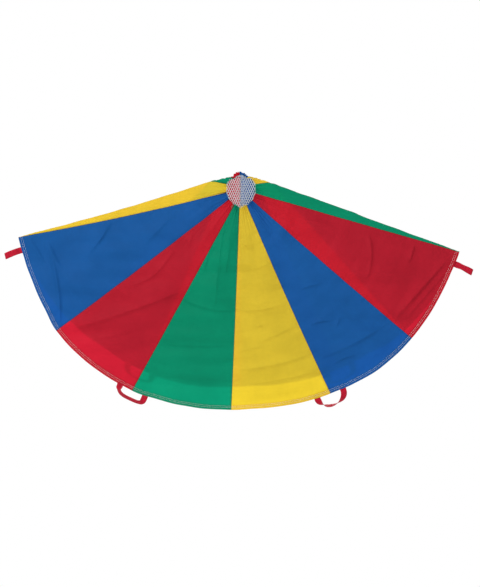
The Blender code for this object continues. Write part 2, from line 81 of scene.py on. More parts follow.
# How the canopy is cut and hangs, in metres. A place on it is (u, t): u counts the seams, t runs from vent
# to rim. A point in the plane of the front is a complex number, x + z i, and y is kept beside it.
canopyShape = {
    "radius": 0.915,
    "goreWidth": 0.402,             # at the rim
    "ventHalfWidth": 0.0585,
    "ventHalfHeight": 0.068,
    "ventPeakRise": 0.0045,         # the vent is drawn up this far at the hanging point
    "ventPeakSpread": 35.0,         # degrees to each side
    "ventHang": 94.0,               # degrees from the right, where the vent hangs
    "ventTilt": 9.0,                # degrees, the lower edge of the vent further forward
    "ventFlatReach": 0.078,         # cloth nearer than this to the middle of the vent lies in its plane
    "ventEase": 0.150,              # and passes into the swell over this much
    "lean": -1.88,                  # degrees, the whole fan to the left
    "ridgeRadius": 0.0045,          # of the fold at the top
    "leftSag": (0.0108, 0.0104),    # of the ridge: in its middle, and beside the hanging point
    "rightSag": (0.0, 0.0080),
    "hangPinch": (0.014, 0.036, 0.040, 0.130),  # where the second starts, is full, fades and ends
    "frontSwell": 0.060,            # how far the front bellies forward
    "backSwell": 0.050,
    "swellReach": 0.170,            # how soon below the ridges
    "cornerFlat": 0.085,            # the two layers lie together this near the corners
    "cornerEase": 0.250,
    "goreBillow": 0.0065,           # of each gore between its seams
    "fluteDepth": 0.092,            # of the two folds behind, at the rim
    "fluteSpread": 0.64,            # their width, as a share of a gore
    "hangBlend": 0.5,               # the two sides of the back mix this far from its middle, in gores
    "seamStrays": (0.0, -0.010, -0.046, 0.006, 0.008, 0.037, 0.0),      # shares of a gore
    "rimReaches": (1.012, 1.033, 1.016, 0.979, 0.991, 1.005, 1.009),    # shares of the radius, at the seams
    "backReach": 1.028,
    # how far the rim strays from that at each quarter of a gore in front, as a share of the radius
    "rimStrays": (0.0, -0.0046, -0.0106, -0.0128, -0.0034, -0.0019, -0.0002, 0.0008, -0.0018, -0.0088,
                  -0.0050, 0.0002, -0.0004, -0.0070, -0.0078, -0.0060, -0.0029, 0.0020, 0.0052, 0.0012,
                  -0.0009, -0.0035, -0.0048, -0.0044, 0.0010),
    # how far each seam runs aside of a straight line: at the vent, as a bow in its middle and at the rim
    "seamShifts": ((0.0, 0.0092, -0.0089), (0.0033, 0.0041, 0.0008), (0.0061, 0.0014, -0.0020),
                   (-0.0041, 0.0012, -0.0126), (-0.0041, -0.0053, 0.0024), (-0.0041, -0.0041, -0.0089),
                   (0.0, -0.0012, 0.0073)),
    "probe": 0.004,                 # step in u and t for the cloth's slope
}
ventEnds = {
    "chord": 0.0022,            # each gore's straight top cuts this far across the round vent
    "dip": (3.05, 0.40, 0.0070, 1.3),   # pointed bottom of the vent: seam, spread, depth and sharpness
    "band": (9.0, 1.45, 0.6),   # middle, half width and soft end of the band at the hanging point, in seams
    "bandDepth": 0.0180,        # there the tops come this far down over the vent
    "tuck": (0.0125, 0.0080),   # and lean back by this much, within this distance of their edge
    "reach": 0.030,             # how far down a gore the shape of its top is felt
}
goreAngle = canopyShape["goreWidth"] / canopyShape["radius"]
goreLength = canopyShape["radius"] - canopyShape["ventHalfWidth"]
fanStart = math.radians(canopyShape["lean"] - 90.0) - 3 * goreAngle
hangAngle = math.radians(canopyShape["ventHang"])
ventSlope = math.tan(math.radians(canopyShape["ventTilt"]))


def ease(value):
    value = np.clip(value, 0.0, 1.0)
    return value * value * (3.0 - 2.0 * value)


def dot(a, b):
    return (a * np.conj(b)).real


def unit(vectors):
    return vectors / np.linalg.norm(vectors, axis=-1, keepdims=True)


def runAlong(points):
    return np.concatenate([[0.0], np.cumsum(np.linalg.norm(np.diff(points, axis=0), axis=1))])


def perSeam(shares, v, ends):
    padded = np.array([ends, *shares, ends])
    place = np.clip(v + 1.0, 0.0, len(padded) - 1.0)
    seam = np.minimum(place.astype(int), len(padded) - 2)
    return padded[seam] + (padded[seam + 1] - padded[seam]) * ease(place - seam)


def fanAngle(v):
    return fanStart + goreAngle * (v + perSeam(canopyShape["seamStrays"], v, 0.0))


def ventAngle(v):
    first, last = fanAngle(np.array(0.0)), fanAngle(np.array(6.0))
    left = first + (hangAngle - 2 * math.pi - first) * v / -3.0
    right = last + (hangAngle - last) * (v - 6.0) / 3.0
    return np.where(v < 0.0, left, np.where(v > 6.0, right, fanAngle(v)))


def ventRadius(angle):
    offPeak = np.abs(np.degrees(np.angle(np.exp(1j * (angle - hangAngle)))))
    peak = canopyShape["ventPeakRise"] * np.maximum(0.0, 1.0 - offPeak / canopyShape["ventPeakSpread"])
    halfWidth, halfHeight = canopyShape["ventHalfWidth"], canopyShape["ventHalfHeight"]
    return peak + 1.0 / np.hypot(np.cos(angle) / halfWidth, np.sin(angle) / halfHeight)


ventMiddle = -ventRadius(hangAngle) * np.exp(1j * hangAngle)


def flatPlace(v, t):
    angle = ventAngle(v)
    start = ventMiddle + ventRadius(angle) * np.exp(1j * angle)
    reach = perSeam(canopyShape["rimReaches"], v, canopyShape["backReach"])
    reach = reach + perSeam(canopyShape["rimStrays"], 4 * v, 0.0)
    out = np.exp(1j * fanAngle(v))
    end = ventMiddle + canopyShape["radius"] * reach * out
    atVent, bow, atRim = (perSeam(shifts, v, 0.0) for shifts in zip(*canopyShape["seamShifts"]))
    aside = atVent * (1.0 - t) + 4 * bow * t * (1.0 - t) + atRim * t
    return start + (end - start) * t + 1j * out * aside


# The fold at the top from the hanging point to a corner: cloth past it hangs down behind.
class Ridge:
    def __init__(self, seam, hangPlace, sag, side):
        self.seam, (self.sag, self.pinch), self.side = seam, sag, side
        self.corner = flatPlace(np.array(float(seam)), 1.0)
        self.along = self.corner / abs(self.corner)
        self.down = -1j * self.along * side
        hangEnd = flatPlace(np.array(float(hangPlace)), 1.0)
        folded = self.along * dot(hangEnd, self.along) + self.down * abs(dot(hangEnd, self.down))
        self.swing = -math.pi / 2 - np.angle(folded)

    def droop(self, point):
        run = dot(point, self.along)
        share = np.clip(run / abs(self.corner), 0.0, 1.0)
        start, full, fade, end = canopyShape["hangPinch"]
        pinch = self.pinch * ease((run - start) / (full - start)) * ease((end - run) / (end - fade))
        return self.sag * np.sin(math.pi * share) + pinch

    def below(self, point):
        return np.maximum(0.0, dot(point, self.down) - self.droop(point))

    def past(self, point):
        return dot(point, self.down) - self.droop(point) + canopyShape["ridgeRadius"]

    def hang(self, v, t):
        radius = canopyShape["ridgeRadius"]
        flat = flatPlace(v, t)
        past = self.past(flat)
        reach = np.hypot(past, radius)
        facing = past / reach
        behind = (1.0 - facing) / 2
        drop = self.droop(flat) + reach - radius
        hung = self.along * dot(flat, self.along) + self.down * drop
        beyond = (v - self.seam) * self.side - 1.0
        across = (beyond - 0.5) / canopyShape["fluteSpread"] + 0.5
        hung = hung * np.exp(1j * self.swing * ease(across) * behind)
        front, back, free = layerDepths(hung)
        billow = canopyShape["goreBillow"] * free * np.sin(math.pi * v) ** 2
        flute = canopyShape["fluteDepth"] * np.sin(math.pi * np.clip(across, 0.0, 1.0)) ** 2
        flute = flute * np.abs(flat) / canopyShape["radius"]
        y = (back - front) / 2 - facing * (radius + (front + back) / 2 + billow) + behind * flute
        return hung, y


leftRidge = Ridge(0, -3, canopyShape["leftSag"], -1)
rightRidge = Ridge(6, 9, canopyShape["rightSag"], 1)


def layerDepths(point):
    left, right = leftRidge.below(point), rightRidge.below(point)
    depth = left * right / np.maximum((left**3 + right**3) ** (1 / 3), 1e-9)
    corner = np.minimum(np.abs(point - leftRidge.corner), np.abs(point - rightRidge.corner))
    free = 1.0 - np.exp(-depth / canopyShape["swellReach"])
    free = free * ease((corner - canopyShape["cornerFlat"]) / canopyShape["cornerEase"])
    fromVent = ease((np.abs(point - ventMiddle) - canopyShape["ventFlatReach"]) / canopyShape["ventEase"])
    ventDepth = ventSlope * np.maximum(0.0, -point.imag)
    front = ventDepth + (canopyShape["frontSwell"] * free - ventDepth) * fromVent
    return front, canopyShape["backSwell"] * free, free * fromVent


def canopyPoints(u, t):
    u, t = np.broadcast_arrays(np.mod(u, 12.0), t)
    leftPlace, leftY = leftRidge.hang(np.where(u > 6.0, u - 12.0, u), t)
    rightPlace, rightY = rightRidge.hang(u, t)
    behind = 1.0 - ease((u - 9.0) / (2 * canopyShape["hangBlend"]) + 0.5)
    share = np.where(u <= 6.0, ease(u / 6.0), behind)
    place = leftPlace * (1.0 - share) + rightPlace * share
    return np.stack([place.real, leftY * (1.0 - share) + rightY * share, place.imag], -1)


# Relief of the hung cloth, in metres: drawn-in seams, gathers, soft drape and the creases in the photograph.
clothRelief = {
    "seamDip": (0.0013, 0.0045),        # depth and half width of the drawn-in seam
    "seamPucker": (0.0006, 0.020, 0.023, 10, 0.05),     # height, reach, length, drift, start below the vent
    # height, reach from the edge and number of the gathers, and how much and how often their spacing varies
    "ventGather": (0.0024, 0.055, 49, 2.0, 13),
    "farGather": (0.0007, 0.170, 61, 3.0, 11),
    "hemPucker": (0.0008, 0.030, 142, 3.0, 9),
    # height, length and width of folds down the gores, of slanting waves and of waves along the rim
    "drape": ((0.0032, 0.90, 0.13), (0.0036, 0.36, 0.16), (0.0011, 0.30, 0.085)),
    "drapeFade": 0.5,                   # the first grow weaker over this distance from the hanging point
    "drapeRound": 0.45,                 # distance at which widths round the canopy are true
    "drapeSlant": (0.4, 0.3),           # of the second, along and across
    "waveSpread": (0.6, 0.9, 1.1),      # least and added share of a length, and how far waves lean
    "ridgeWave": (0.0005, 0.02, 0.2),   # height, reach from the ridge, and where it is full
    "ridgeRipples": ((1.0, 0.17, 2.0), (0.7, 0.095, 0.0)),      # strength, length and phase
    "room": (0.110, 0.10),              # cloth nearer than this to a ridge or to the vent is pulled flat
    "cornerRoom": (0.085, 0.120),       # and so is cloth near the ends of the ridges
    "strapBulge": (0.0016, 0.036),      # the layers part round the strap that is sewn between them
    "ventShare": 0.08,                  # a gore's width at the vent, as a share of that at the rim
    "seed": 11,
    "creaseSides": (1.5, 0.45),         # a crease falls gently to its left and steeply to its right
    "creaseTop": 0.2,                   # how round its top is
    "creaseEnd": 0.06,                  # share left out at both ends of its arched height
    # start x, z, end x, z, height, half width, sideways bend; all on the front
    "creases": (
        (-0.645, -0.628, -0.259, -0.494, 0.0125, 0.0224, -0.008),
        (-0.487, -0.472, -0.273, -0.329, 0.0060, 0.0112, -0.036),
        (-0.206, -0.307, -0.190, -0.258, 0.0036, 0.0090, 0.000),
        (-0.584, -0.677, -0.454, -0.649, 0.0043, 0.0134, -0.004),
        (-0.218, -0.523, -0.039, -0.567, 0.0084, 0.0112, -0.012),
        (-0.100, -0.543, -0.060, -0.205, 0.0037, 0.0078, 0.004),
        (-0.056, -0.409, -0.039, -0.287, 0.0031, 0.0067, 0.000),
        (-0.145, -0.409, -0.117, -0.303, 0.0035, 0.0078, 0.000),
        (-0.283, -0.702, -0.060, -0.706, 0.0043, 0.0134, -0.004),
        (-0.601, -0.323, -0.527, -0.218, 0.0088, 0.0090, -0.004),
        (-0.796, -0.364, -0.849, -0.279, 0.0073, 0.0078, 0.000),
        (-0.727, -0.604, -0.767, -0.327, 0.0103, 0.0090, -0.012),
        (-0.731, -0.384, -0.776, -0.295, 0.0073, 0.0078, 0.000),
        (-0.377, -0.287, -0.275, -0.185, 0.0047, 0.0157, 0.000),
        (-0.011, -0.563, 0.164, -0.543, 0.0050, 0.0101, -0.010),
        (0.083, -0.693, 0.233, -0.624, 0.0043, 0.0101, 0.000),
        (0.001, -0.803, 0.286, -0.742, 0.0076, 0.0179, -0.010),
        (0.042, -0.860, 0.294, -0.815, 0.0054, 0.0134, -0.006),
        (0.001, -0.730, 0.095, -0.706, 0.0034, 0.0090, 0.000),
        (0.005, -0.287, 0.050, -0.319, 0.0035, 0.0067, 0.000),
        (0.022, -0.401, 0.131, -0.368, 0.0034, 0.0101, -0.006),
        (0.070, -0.630, 0.091, -0.626, 0.0041, 0.0045, 0.000),
        (0.294, -0.620, 0.363, -0.608, 0.0072, 0.0067, 0.006),
        (0.392, -0.628, 0.404, -0.600, 0.0054, 0.0056, 0.000),
        (0.388, -0.775, 0.461, -0.746, 0.0065, 0.0090, 0.004),
        (0.335, -0.754, 0.603, -0.612, 0.0058, 0.0134, -0.010),
        (0.253, -0.478, 0.314, -0.462, 0.0054, 0.0067, 0.004),
        (0.518, -0.429, 0.526, -0.266, 0.0074, 0.0078, -0.012),
        (0.688, -0.364, 0.709, -0.307, 0.0068, 0.0067, 0.000),
        (0.640, -0.584, 0.835, -0.368, 0.0120, 0.0150, 0.000),
        (0.672, -0.596, 0.839, -0.409, 0.0048, 0.0101, 0.000),
        (0.257, -0.189, 0.367, -0.222, 0.0038, 0.0090, -0.004),
        (0.083, -0.055, 0.469, -0.173, 0.0055, 0.0090, -0.010),
        (-0.405, -0.144, -0.072, -0.075, 0.0029, 0.0067, 0.000),
    ),
}
sideHinges = [complex(joint["pos_m"][0], joint["pos_m"][2]) for joint in frame["joints"]
              if "side" in joint["child"]]
waveMaker = np.random.default_rng(clothRelief["seed"])
waveTable = waveMaker.uniform(0.0, 1.0, (3, 14, 4))


def softWaves(along, across, layer, length, width):
    total = 0.0
    least, added, leaning = clothRelief["waveSpread"]
    for phase, stretch, lean, push in waveTable[layer]:
        turn = (lean - 0.5) * leaning
        run = along / (length * (least + added * stretch))
        run = run + across / (width * (least + added * push)) * (1.0 + turn)
        total = total + np.sin(2 * math.pi * (run * (1.0 if lean > 0.5 else -1.0) + phase))
    return total / math.sqrt(len(waveTable[layer]))


def reliefAt(u, t, place):
    u = np.mod(u, 12.0)
    roundCanopy = 2 * math.pi * u / 12
    share = clothRelief["ventShare"]
    width = canopyShape["goreWidth"] * (share + (1.0 - share) * np.clip(t, 0.0, 1.0))
    fromSeam = np.abs(u - np.round(u)) * width
    down = t * goreLength
    flat = place[..., 0] + 1j * place[..., 2]
    below = np.minimum(leftRidge.below(flat), rightRidge.below(flat))
    corner = np.minimum(np.abs(flat - leftRidge.corner), np.abs(flat - rightRidge.corner))
    ridgeRoom, ventRoom = clothRelief["room"]
    nearest, span = clothRelief["cornerRoom"]
    room = ease(below / ridgeRoom) * ease(down / ventRoom) * ease((corner - nearest) / span)

    depth, reach = clothRelief["seamDip"]
    height = -depth * np.exp(-(fromSeam / reach) ** 2)
    rise, reach, length, drift, start = clothRelief["seamPucker"]
    puckers = np.sin(2 * math.pi * down / length + drift * roundCanopy)
    height += rise * np.exp(-fromSeam / reach) * puckers * ease(down / start)
    for kind, away in (("ventGather", down), ("farGather", down), ("hemPucker", goreLength - down)):
        rise, reach, count, uneven, often = clothRelief[kind]
        gathers = np.sin(count * roundCanopy + uneven * np.sin(often * roundCanopy))
        height += rise * np.exp(-np.maximum(away, 0.0) / reach) * gathers
    radial = np.abs(flat)
    turn = np.angle(flat) * clothRelief["drapeRound"]
    slantAlong, slantAcross = clothRelief["drapeSlant"]
    waves = ((radial, turn, np.exp(-radial / clothRelief["drapeFade"])),
             (flat.real + slantAlong * flat.imag, flat.imag - slantAcross * flat.real, 1.0),
             (turn, radial, 1.0))
    for layer, (along, across, fade) in enumerate(waves):
        rise, length, width = clothRelief["drape"][layer]
        height += room * rise * fade * softWaves(along, across, layer, length, width)
    rise, reach, full = clothRelief["ridgeWave"]
    wave = sum(strength * np.sin(2 * math.pi * radial / length + phase)
               for strength, length, phase in clothRelief["ridgeRipples"])
    height += rise * np.exp(-below / reach) * wave * ease(radial / full)
    rise, reach = clothRelief["strapBulge"]
    for hinge in sideHinges:
        height += rise * np.exp(-np.abs((flat - hinge) / reach) ** 2)
    front = place[..., 1] < 0.0
    top, low = clothRelief["creaseTop"], clothRelief["creaseEnd"]
    for x0, z0, x1, z1, rise, half, bend in clothRelief["creases"]:
        start, run = complex(x0, z0), complex(x1 - x0, z1 - z0)
        share = dot(flat - start, run) / abs(run) ** 2
        inside = np.clip(share, 0.0, 1.0)
        off = dot(flat - start, 1j * run) / abs(run) - bend * 4 * inside * (1.0 - inside)
        off = off / (half * np.where(off > 0.0, *clothRelief["creaseSides"]))
        beyond = (share - inside) * abs(run) / half
        away = np.sqrt(off**2 + beyond**2 + top**2) - top
        height += front * rise * np.exp(-away) * np.sqrt(np.sin(math.pi * (low + (1.0 - 2 * low) * inside)))
    return height


def bandShare(u):
    middle, half, soft = ventEnds["band"]
    return ease((half - np.abs(np.mod(u, 12.0) - middle)) / soft)


def ventPush(u, bandReach):
    inside = np.mod(u, 1.0)
    band = bandShare(u)
    seam, spread, depth, sharp = ventEnds["dip"]
    dip = depth * np.exp(-np.abs((np.mod(u, 12.0) - seam) / spread) ** sharp)
    return ventEnds["chord"] * 4 * inside * (1.0 - inside) * (1.0 - band) + bandReach * band - dip


def clothPoints(u, t):
    probe = canopyShape["probe"]
    u, t = np.broadcast_arrays(np.asarray(u, float), np.asarray(t, float))
    down = np.maximum(t, 0.0) * goreLength
    deep, reach = ventEnds["tuck"]
    tuck = bandShare(u) * deep * np.exp(-down / reach)
    t = t - ventPush(u, ventEnds["bandDepth"]) / goreLength * np.exp(-down / ventEnds["reach"])
    place = canopyPoints(u, t)
    across = canopyPoints(u + probe, t) - canopyPoints(u - probe, t)
    normal = unit(np.cross(canopyPoints(u, t + probe) - canopyPoints(u, t - probe), across))
    place = place + normal * reliefAt(u, t, place)[..., None]
    place[..., 1] += tuck
    return place, normal


# Materials. Colours are sRGB hex values of the finished goods.
def linear(hexColour):
    parts = [int(hexColour[k:k + 2], 16) / 255 for k in (1, 3, 5)]
    return [c / 12.92 if c <= 0.04045 else ((c + 0.055) / 1.055) ** 2.4 for c in parts] + [1.0]


def addNode(tree, kind, settings=None, inputs=None, links=None):
    node = tree.nodes.new(kind)
    for key, value in (settings or {}).items():
        setattr(node, key, value)
    for key, value in (inputs or {}).items():
        node.inputs[key].default_value = value
    for key, (source, output) in (links or {}).items():
        tree.links.new(source.outputs[output], node.inputs[key])
    return node


def newMaterial(name):
    material = bpy.data.materials.new(name)
    material.use_nodes = True
    material.node_tree.nodes.clear()
    return material, material.node_tree


# Calendered nylon taffeta: thin plain-woven cloth, faint sheen, lets light and the layer behind it through.
taffeta = {
    "colours": {
        "blue_cloth": ("#2067b6", "#00247a"),
        "red_cloth": ("#d02437", "#cc0c2c"),
        "green_cloth": ("#0aa077", "#008a68"),
        "yellow_cloth": ("#fcda3e", "#d6b804"),
    },
    "spreads": 0.14,        # share of the light that the yarns let through and scatter
    "clear": 0.26,          # share that passes straight between the yarns
    "roughness": 0.58,
    "specular": 0.06,
    "sheen": (0.015, 0.5),  # weight and roughness
    "thread": 0.0016,       # metres; real threads are 0.25 mm apart, drawn coarser so that they show
    "weaveRise": 0.0003,
    "mottle": 0.07,         # how far dye and crushing change the colour
    "patches": ((9.0, 0.55), (70.0, 0.6)),  # uneven dye, 110 and 14 mm wide: number to a metre, roughness
    "crush": (38.0, 0.0035),    # number to a metre, so 26 mm wide, and how high
    "paintedSeamShade": (0.0024, 0.50),     # painted seam shade: the cloth is darkened this wide and this dark beside each seam, standing for the shadow in the drawn-in seam
}


def makeTaffeta(slot, values):
    outer, through = (linear(colour) for colour in values["colours"][slot])
    material, tree = newMaterial("nylonTaffeta_" + slot.split("_")[0])
    place = addNode(tree, "ShaderNodeAttribute", {"attribute_name": "clothPlace"})
    spots = addNode(tree, "ShaderNodeTexCoord")
    wide, small = (addNode(tree, "ShaderNodeTexNoise", {}, {"Scale": size, "Detail": 3.0, "Roughness": rough},
                           {"Vector": (spots, "Object")}) for size, rough in values["patches"])
    mixed = addNode(tree, "ShaderNodeMath", {"operation": "MULTIPLY_ADD"}, {1: 0.35},
                    {0: (small, "Fac"), 2: (wide, "Fac")})
    shade = addNode(tree, "ShaderNodeMapRange",
                    inputs={"From Min": 0.45, "From Max": 0.95, "To Min": 1.0 - values["mottle"],
                            "To Max": 1.0 + values["mottle"]}, links={"Value": (mixed, 0)})
    parts = addNode(tree, "ShaderNodeSeparateXYZ", links={"Vector": (place, "Vector")})
    # painted shade: the cloth grows darker towards each seam, set by the distance to it kept in clothPlace's
    # third value
    seamShadeRamp = addNode(tree, "ShaderNodeMapRange",
                     inputs={"From Max": values["paintedSeamShade"][0], "To Min": values["paintedSeamShade"][1]},
                     links={"Value": (parts, "Z")})
    mottleAndSeamShade = addNode(tree, "ShaderNodeMath", {"operation": "MULTIPLY"}, {},
                    {0: (shade, "Result"), 1: (seamShadeRamp, "Result")})
    warp, weft = (addNode(tree, "ShaderNodeTexWave", {"bands_direction": axis},
                          {"Scale": 2 * math.pi / (20 * values["thread"]), "Distortion": 0.4, "Detail": 1.0,
                           "Detail Scale": 2.0}, {"Vector": (place, "Vector")}) for axis in ("X", "Y"))
    cloth = addNode(tree, "ShaderNodeMath", {"operation": "MULTIPLY"}, {},
                    {0: (warp, "Fac"), 1: (weft, "Fac")})
    crush = addNode(tree, "ShaderNodeTexNoise", {},
                    {"Scale": values["crush"][0], "Detail": 4.0, "Roughness": 0.62, "Distortion": 0.5},
                    {"Vector": (spots, "Object")})
    weaveBump = addNode(tree, "ShaderNodeBump", inputs={"Strength": 0.35, "Distance": values["weaveRise"]},
                        links={"Height": (cloth, 0)})
    bump = addNode(tree, "ShaderNodeBump", inputs={"Strength": 0.30, "Distance": values["crush"][1]},
                   links={"Height": (crush, "Fac"), "Normal": (weaveBump, "Normal")})
    surfaces = []
    for kind, key, colour in (("ShaderNodeBsdfPrincipled", "Base Color", outer),
                              ("ShaderNodeBsdfTranslucent", "Color", through)):
        tint = addNode(tree, "ShaderNodeMixRGB", {"blend_type": "MULTIPLY"}, {"Fac": 1.0, "Color1": colour},
                       {"Color2": (mottleAndSeamShade, 0)})
        surfaces.append(addNode(tree, kind, links={key: (tint, "Color"), "Normal": (bump, "Normal")}))
    finish = {"Roughness": values["roughness"], "Specular IOR Level": values["specular"],
              "Sheen Weight": values["sheen"][0], "Sheen Roughness": values["sheen"][1]}
    for name, value in finish.items():
        surfaces[0].inputs[name].default_value = value
    both = addNode(tree, "ShaderNodeMixShader", inputs={"Fac": values["spreads"] / (1.0 - values["clear"])},
                   links={1: (surfaces[0], 0), 2: (surfaces[1], 0)})
    gaps = addNode(tree, "ShaderNodeBsdfTransparent", inputs={"Color": through})
    whole = addNode(tree, "ShaderNodeMixShader", inputs={"Fac": values["clear"]},
                    links={1: (both, 0), 2: (gaps, 0)})
    addNode(tree, "ShaderNodeOutputMaterial", links={"Surface": (whole, 0)})
    return material


cloths = {slot: makeTaffeta(slot, taffeta) for slot in taffeta["colours"]}
print("cloth materials made:", ", ".join(cloths))


def addObject(name, mesh, material):
    mesh.materials.append(material)
    item = bpy.data.objects.new(name, mesh)
    scene.collection.objects.link(item)
    return item


# Meshes from grids of points: each grid is rows down the cloth by columns across it.
def gridObject(name, grids, material, weld=1e-6):
    points, places, faces, start = [], [], [], 0
    for grid, place in grids:
        rows, columns = grid.shape[:2]
        index = start + np.arange(rows * columns).reshape(rows, columns)
        corners = [index[:-1, :-1], index[1:, :-1], index[1:, 1:], index[:-1, 1:]]
        faces.append(np.stack(corners, -1).reshape(-1, 4))
        points.append(grid.reshape(-1, 3))
        places.append(place.reshape(-1, 3))
        start += rows * columns
    mesh = bpy.data.meshes.new(name)
    mesh.from_pydata(np.concatenate(points).tolist(), [], np.concatenate(faces).tolist())
    attribute = mesh.attributes.new("clothPlace", "FLOAT_VECTOR", "POINT")
    attribute.data.foreach_set("vector", np.concatenate(places).astype(np.float32).ravel())
    bm = bmesh.new()
    bm.from_mesh(mesh)
    bmesh.ops.remove_doubles(bm, verts=bm.verts, dist=weld)
    bm.to_mesh(mesh)
    bm.free()
    mesh.shade_smooth()
    return addObject(name, mesh, material)


# Gores: each its own cut panel, with the rim turned up into a hem, the top turned in over the net
# and both long edges turned under in the seam.
gore = {
    "front": (108, 270),    # columns and rows of faces on the six gores in front
    "back": (52, 100),
    "seamCrowd": (4.5, 0.007),      # columns stand this much closer beside a seam, within this distance
    "ridgeCrowd": (7.0, 0.009),     # and along a ridge
    "ventCrowd": 0.45,              # rows stand closer towards the vent by this share
    "hem": 0.0205,          # width of the turned-up hem
    "turn": 0.0009,         # radius of the hem's fold
    "ventOverlap": 0.0010,  # the top reaches this far over the net
    "ventTurn": 0.0050,
    "allowance": 0.0045,    # cloth turned under in a seam
    "layer": 0.00045,       # between the layers in a seam
    # the turnings of the first and of the last long edge: distance from the seam and depth in layers
    "firstTurning": ((0.0045, 2.0), (0.00225, 2.0), (0.0012, 2.0), (0.0002, 1.2), (0.0, 0.0)),
    "lastTurning": ((0.0, 0.0), (0.0, 0.6), (0.0010, 1.0), (0.00225, 1.0), (0.0045, 1.0)),
    "patternShift": 1.7,    # metres between the patterns of two gores, so that they differ
    "colours": ("blue", "red", "green", "yellow"),
}


def columnsAcross(number, t):
    first = number if number < 9 else number - 12
    ridge = rightRidge if number < 9 else leftRidge
    fine = np.linspace(0.0, 1.0, 501)
    flat = flatPlace(first + fine[None, :] + 0.0 * t[:, None], t[:, None])
    steps = np.abs(np.diff(flat, axis=1))
    run = np.concatenate([np.zeros((len(t), 1)), np.cumsum(steps, axis=1)], axis=1)
    total = run[:, -1:]
    closer, reach = gore["seamCrowd"]
    crowd = 1.0 + closer * np.exp(-run / reach) + closer * np.exp(-(total - run) / reach)
    closer, reach = gore["ridgeCrowd"]
    crowd += closer * np.exp(-np.abs(ridge.past(flat)) / reach)
    weight = np.concatenate([np.zeros((len(t), 1)), np.cumsum(crowd[:, 1:] * steps, axis=1)], axis=1)
    wanted = np.linspace(0.0, 1.0, gore["front" if number < 6 else "back"][0] + 1)
    places = np.array([np.interp(wanted, line / line[-1], fine) for line in weight])
    places[:, 0], places[:, -1] = 0.0, 1.0
    return places, total


def goreRows(count):
    turn, overlap = gore["turn"], gore["ventOverlap"]
    down = [gore["ventTurn"] - overlap, (gore["ventTurn"] - overlap) / 2]
    depth = [2 * turn, 2 * turn]
    for angle in (180, 135, 90, 45):
        down.append(turn - overlap - turn * math.sin(math.radians(angle)))
        depth.append(turn - turn * math.cos(math.radians(angle)))
    lead = len(down)
    steps = np.linspace(0.0, 1.0, count + 1)
    body = steps - gore["ventCrowd"] * np.sin(math.pi * steps) / math.pi * (1.0 - steps)
    body = (turn - overlap) + (goreLength - 2 * turn + overlap) * body
    hemEdge = goreLength - gore["hem"]
    body[np.argmin(np.abs(body - hemEdge))] = hemEdge
    down += list(body)
    depth += [0.0] * len(body)
    for angle in (45, 90, 135, 180):
        down.append(goreLength - turn + turn * math.sin(math.radians(angle)))
        depth.append(turn - turn * math.cos(math.radians(angle)))
    for share in (0.3, 0.65, 1.0):
        down.append(goreLength - turn - (gore["hem"] - turn) * share)
        depth.append(2 * turn)
    return np.array(down), np.array(depth), slice(lead, lead + len(body))


def makeGore(number):
    down, depth, body = goreRows(gore["front" if number < 6 else "back"][1])
    t = down / goreLength
    places, widths = columnsAcross(number, np.clip(t, 0.0, 1.0))
    offset = number * gore["patternShift"]
    u = number + places

    def grid(u, rows, sunk):
        points, normals = clothPoints(u, t[rows, None])
        across = (u - number - 0.5) * widths[rows] + offset
        fromSeam = np.abs(np.abs(u - number - 0.5) - 0.5) * widths[rows]
        # the third value, the distance to the nearest seam, sets the painted seam shade in the cloth material
        marks = np.stack([across, 0.0 * u + down[rows, None], fromSeam], -1)
        return points - normals * np.broadcast_to(sunk, u.shape)[..., None], marks

    grids = [grid(u, slice(None), depth[:, None])]
    for seam, turning in ((number, gore["firstTurning"]), (number + 1.0, gore["lastTurning"])):
        under, layers = np.array(turning).T
        grids.append(grid(seam - under[None, :] / widths[body], body, gore["layer"] * layers[None, :]))
    colour = gore["colours"][number % 4]
    item = gridObject(f"canopyGore{number + 1:02d}_{colour}", grids, cloths[colour + "_cloth"])
    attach(item, "canopy")
    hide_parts(f"gore_{number + 1:02d}_{colour}")
    return item


goreItems = [makeGore(number) for number in range(12)]
print("gores made:", sum(len(item.data.polygons) for item in goreItems), "faces")


# Spun polyester thread: two rows round the hem, sewn with a double needle, and two on its inner side.
thread = {
    "insets": {"hem_stitching_lower": 0.0092, "hem_stitching_upper": 0.0156},    # metres above the rim
    "stitch": 0.0052,
    "gap": 0.0011,
    "width": 0.00064,       # real thread is 0.4 mm; drawn a little wider so that the rows show
    "rise": 0.0005,
    # along a stitch: share of its length, height in rises, and thickness
    "profile": ((0.0, -0.35, 0.35), (0.16, 0.35, 0.85), (0.5, 0.55, 1.0), (0.84, 0.35, 0.85),
                (1.0, -0.35, 0.35)),
    "sides": 6,
    "samples": 160,         # of the rim, to a gore
    "colours": ("#fbfafb", "#e6e2e4"),
    "fuzz": 900.0,          # to a metre, about 1 mm
    "twist": 260.0,         # gives a turn of the yarn every 1.4 mm
}


def makeThreadMaterial(values):
    material, tree = newMaterial("spunPolyesterThread")
    spots = addNode(tree, "ShaderNodeTexCoord")
    fuzz = addNode(tree, "ShaderNodeTexNoise", inputs={"Scale": values["fuzz"], "Detail": 2.0},
                   links={"Vector": (spots, "Object")})
    twist = addNode(tree, "ShaderNodeTexWave", {"bands_direction": "DIAGONAL"},
                    {"Scale": values["twist"], "Distortion": 1.5}, {"Vector": (spots, "Object")})
    tint = addNode(tree, "ShaderNodeMixRGB", {"blend_type": "MIX"},
                   {"Color1": linear(values["colours"][0]), "Color2": linear(values["colours"][1])},
                   {"Fac": (fuzz, "Fac")})
    bump = addNode(tree, "ShaderNodeBump", inputs={"Strength": 0.5, "Distance": 0.0003},
                   links={"Height": (twist, "Fac")})
    surface = addNode(tree, "ShaderNodeBsdfPrincipled", inputs={"Roughness": 0.62, "Specular IOR Level": 0.3},
                      links={"Base Color": (tint, "Color"), "Normal": (bump, "Normal")})
    addNode(tree, "ShaderNodeOutputMaterial", links={"Surface": (surface, 0)})
    return material


threadMaterial = makeThreadMaterial(thread)


